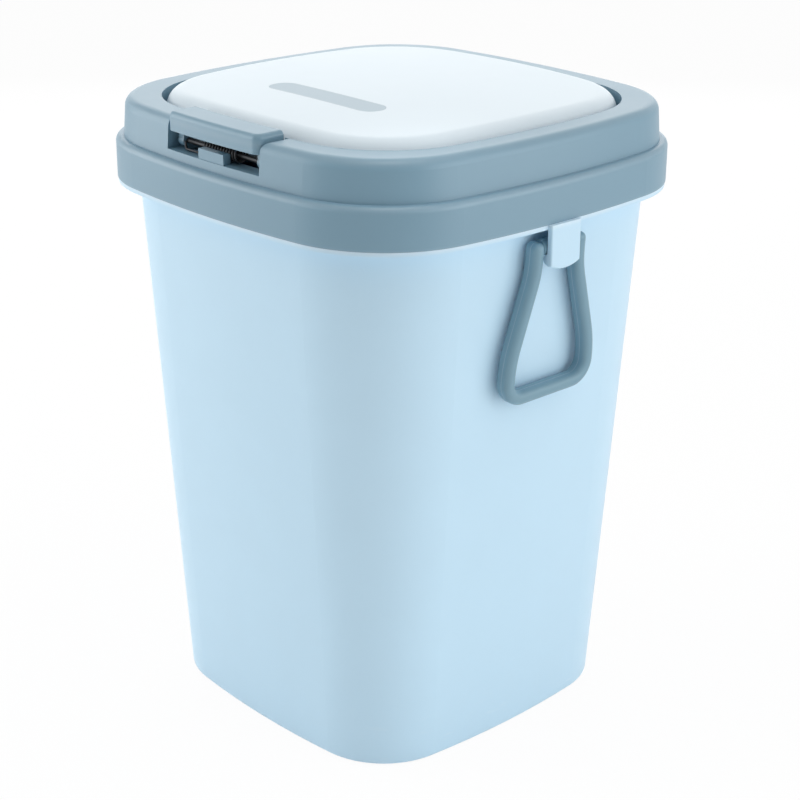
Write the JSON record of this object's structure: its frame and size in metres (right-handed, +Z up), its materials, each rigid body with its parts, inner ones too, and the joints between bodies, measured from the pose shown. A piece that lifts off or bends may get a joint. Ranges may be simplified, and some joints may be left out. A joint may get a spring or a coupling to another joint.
{
  "type": "kitchen bin",
  "caption": "Square tapered kitchen bin with a press button and sprung flap in a two-tier lid ring, and a carry loop hooked on each side.",
  "frame": {"origin": "middle of the base, on the floor", "axes": "+Z up, press button towards -Y, flap hinge towards +Y, carry loops on +X and -X"},
  "size_m": [0.2308, 0.2268, 0.3119],
  "materials": {
    "bucket_plastic": "fine satin, pale blue",
    "ring_plastic": "satin, grey blue",
    "flap_plastic": "soft gloss, white",
    "liner_plastic": "satin, off-white",
    "badge_plastic": "matte, light grey",
    "handle_plastic": "satin, grey blue",
    "steel": "blackened drawn wire"
  },
  "bodies": {
    "bucket": {"bucket": "bucket_plastic"},
    "lid": {"lid_ring": "ring_plastic", "hinge_rod": "steel", "flap_spring_left": "steel", "flap_spring_right": "steel", "button_pin": "steel", "button_spring": "steel"},
    "flap": {"flap_cover": "flap_plastic", "flap_liner": "liner_plastic", "badge_plate": "badge_plastic"},
    "button": {"latch_button": "ring_plastic"},
    "right_handle": {"right_handle": "handle_plastic"},
    "left_handle": {"left_handle": "handle_plastic"}
  },
  "joints": [
    {"name": "lid_lift", "type": "slide", "parent": "bucket", "child": "lid", "axis": [0, 0, 1], "range_m": [0, 0.06]},
    {"name": "flap_hinge", "type": "hinge", "parent": "lid", "child": "flap", "pos_m": [0, 0.1024, 0.3015], "axis": [-1, 0, 0], "range_deg": [0, 85], "deforming": ["flap_spring_left", "flap_spring_right"]},
    {"name": "button_press", "type": "hinge", "parent": "lid", "child": "button", "pos_m": [0, -0.1008, 0.2958], "axis": [1, 0, 0], "range_deg": [0, 14], "stiffness_Nm_per_rad": 0.2, "deforming": ["button_spring"]},
    {"name": "right_handle_swing", "type": "hinge", "parent": "bucket", "child": "right_handle", "pos_m": [0.10865, 0, 0.2569], "axis": [0, -1, 0], "range_deg": [0, 110]},
    {"name": "left_handle_swing", "type": "hinge", "parent": "bucket", "child": "left_handle", "pos_m": [-0.10865, 0, 0.2569], "axis": [0, 1, 0], "range_deg": [0, 110]}
  ]
}
